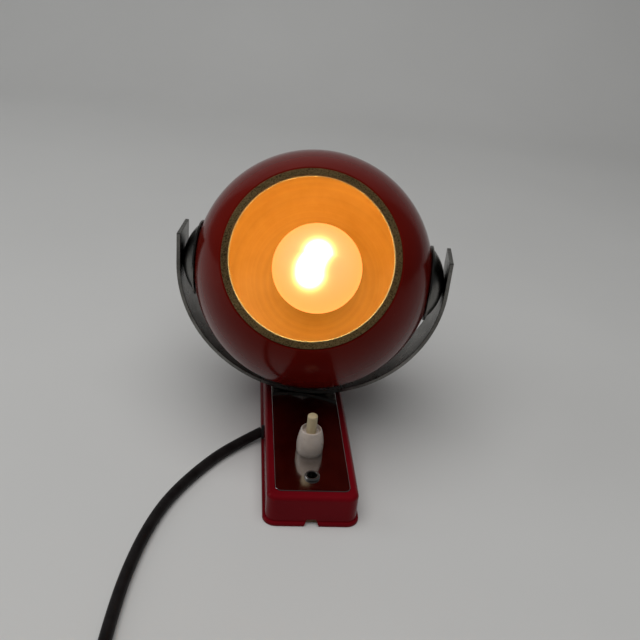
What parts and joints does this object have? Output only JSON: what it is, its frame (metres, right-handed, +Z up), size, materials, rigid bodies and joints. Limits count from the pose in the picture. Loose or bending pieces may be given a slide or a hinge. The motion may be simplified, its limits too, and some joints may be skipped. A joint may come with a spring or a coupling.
{
  "type": "adjustable eyeball lamp",
  "caption": "Small adjustable lamp: a glossy ball shade with a round mouth and a bulb tilts in a chrome U strap that swivels on a long flat base with a push switch, a cord and a plug.",
  "frame": {"origin": "on the base's flat underside, on the strap's swivel axis", "axes": "+Z up from the resting face; the base lies along Y with its switch end towards -Y; +X to the right as seen from the switch end; the rest pose has the strap turned -8.3 degrees about Z and the ball aimed 31.7 degrees above the horizon"},
  "size_m": [0.1543, 0.3185, 0.1444],
  "materials": {
    "red_enamel_base": "glossy dark red enamel",
    "red_enamel_ball": "glossy dark red enamel",
    "mirror_chrome": "mirror polish with light pitting",
    "strap_chrome": "worn chrome with fine brushing",
    "plated_steel": "satin",
    "tarnished_rim": "dull, speckled with tarnish",
    "reflector_metal": "spun, satin",
    "brass": "satin",
    "bulb_glass": "soft frosted, lit from inside",
    "bulb_cap_metal": "satin",
    "filament": "glowing tungsten",
    "stem_glass": "clear",
    "white_plastic": "glossy, slightly yellowed",
    "ivory_plastic": "glossy, yellowed",
    "dark_bakelite": "satin",
    "black_rubber": "matte",
    "black_cord": "satin",
    "fibreboard": "pressed fibre, matte",
    "wire_sleeve": "satin"
  },
  "bodies": {
    "base": {"base_housing": "red_enamel_base", "cover_plate": "mirror_chrome", "back_plate": "fibreboard", "back_plate_screws": "plated_steel", "back_plate_posts": "plated_steel", "fixing_eyelets": "plated_steel", "switch_barrel": "white_plastic", "switch_body": "dark_bakelite", "switch_contacts": "brass", "pin_spring": "plated_steel", "swivel_stud": "plated_steel", "swivel_lock_nut": "plated_steel", "swivel_washer": "plated_steel", "swivel_nut": "plated_steel", "terminal_block": "white_plastic", "terminal_inserts": "brass", "terminal_screws": "plated_steel", "inner_wires": "wire_sleeve", "cord_grommet": "black_rubber", "cord_inner_end": "black_cord", "cord_clamp": "fibreboard", "cord_clamp_screws": "plated_steel", "power_cord": "black_cord", "cord_coil": "black_cord", "cord_tail": "black_cord", "plug_body": "black_rubber", "plug_pins": "brass"},
    "bracket": {"bracket_strap": "strap_chrome", "pivot_screws": "strap_chrome", "pivot_washers": "plated_steel", "pivot_nuts": "plated_steel", "dome_spacer_left": "strap_chrome", "dome_spacer_right": "strap_chrome"},
    "shade": {"shade_shell": "red_enamel_ball", "rim_ring": "tarnished_rim", "reflector": "reflector_metal", "pivot_bushes": "brass", "lead_grommet": "black_rubber", "lampholder_body": "dark_bakelite", "holder_screw": "plated_steel", "contact_sleeve": "brass", "centre_contact": "brass", "bulb_glass": "bulb_glass", "bulb_cap": "bulb_cap_metal", "bulb_stem": "stem_glass", "bulb_filament": "filament"},
    "button": {"push_pin": "ivory_plastic"}
  },
  "joints": [
    {"name": "bracket_swivel", "type": "hinge", "parent": "base", "child": "bracket", "pos_m": [0, 0, 0.0162], "axis": [0, 0, 1], "range_deg": [-161.7, 178.3]},
    {"name": "shade_tilt", "type": "hinge", "parent": "bracket", "child": "shade", "pos_m": [0, 0, 0.0844], "axis": [0.9895, -0.1444, 0], "range_deg": [-63, 76.8]},
    {"name": "button_press", "type": "slide", "parent": "base", "child": "button", "axis": [0, 0, -1], "range_m": [0, 0.0025], "stiffness_N_per_m": 300, "springref_m": -0.003, "deforming": ["pin_spring"]}
  ]
}
